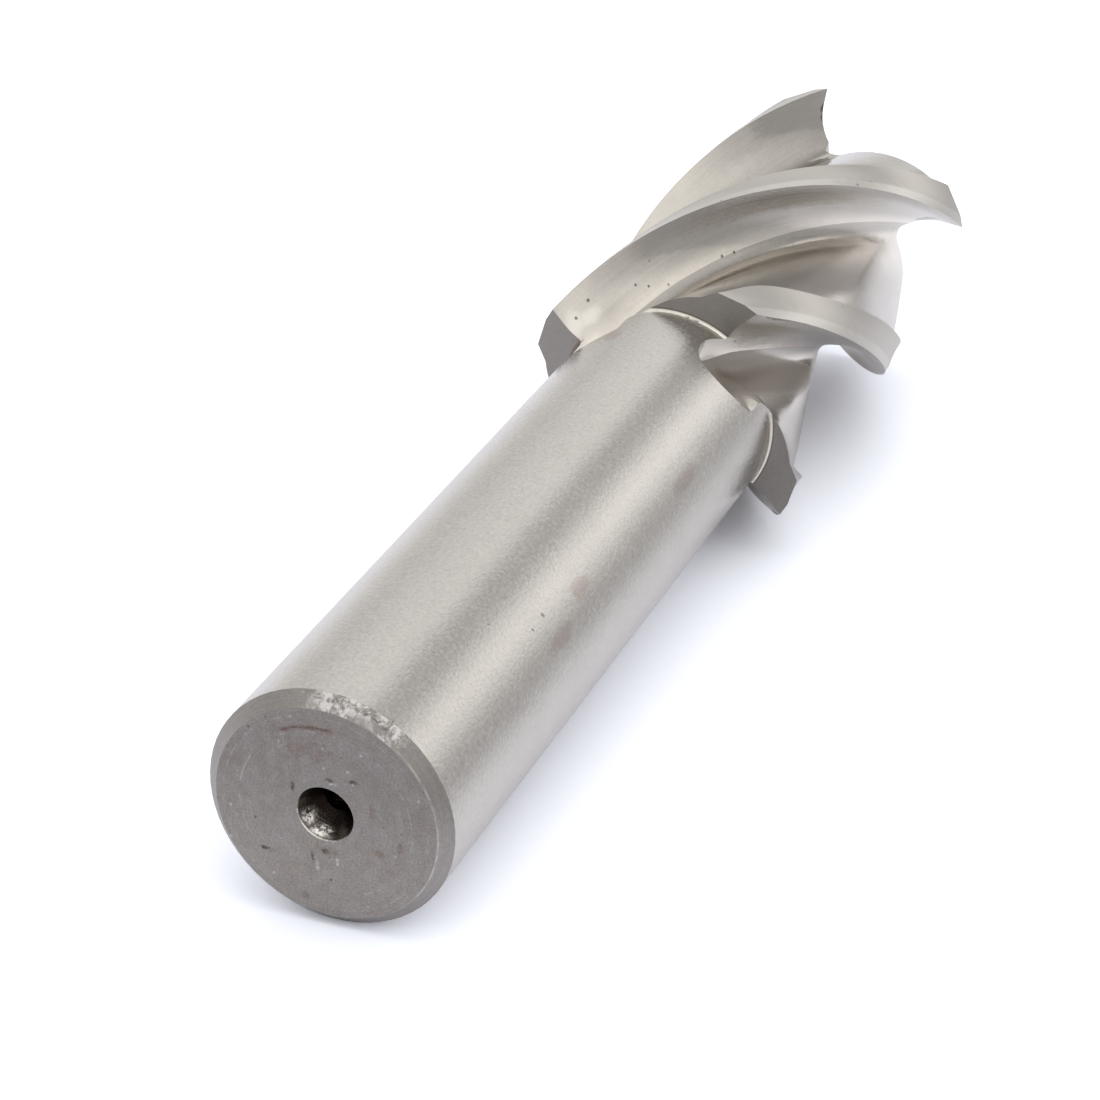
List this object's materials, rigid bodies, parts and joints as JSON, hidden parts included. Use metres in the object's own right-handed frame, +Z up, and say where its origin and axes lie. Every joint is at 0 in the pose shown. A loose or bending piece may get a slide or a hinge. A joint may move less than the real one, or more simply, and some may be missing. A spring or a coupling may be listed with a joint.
{
  "type": "end mill",
  "caption": "High speed steel end mill with a plain round shank and right-hand helical teeth, lying on its side.",
  "frame": {"origin": "on the surface it lies on, under the middle of its bounding box", "axes": "+Z up; +X along the tool from the shank to the cutting end, which is raised by 2.6 degrees because the shank is thinner than the teeth; +Y to the left of that"},
  "size_m": [0.122, 0.028, 0.0294],
  "materials": {
    "ground_tool_steel": "satin ground"
  },
  "bodies": {
    "root": {"end_mill": "ground_tool_steel"}
  },
  "joints": []
}
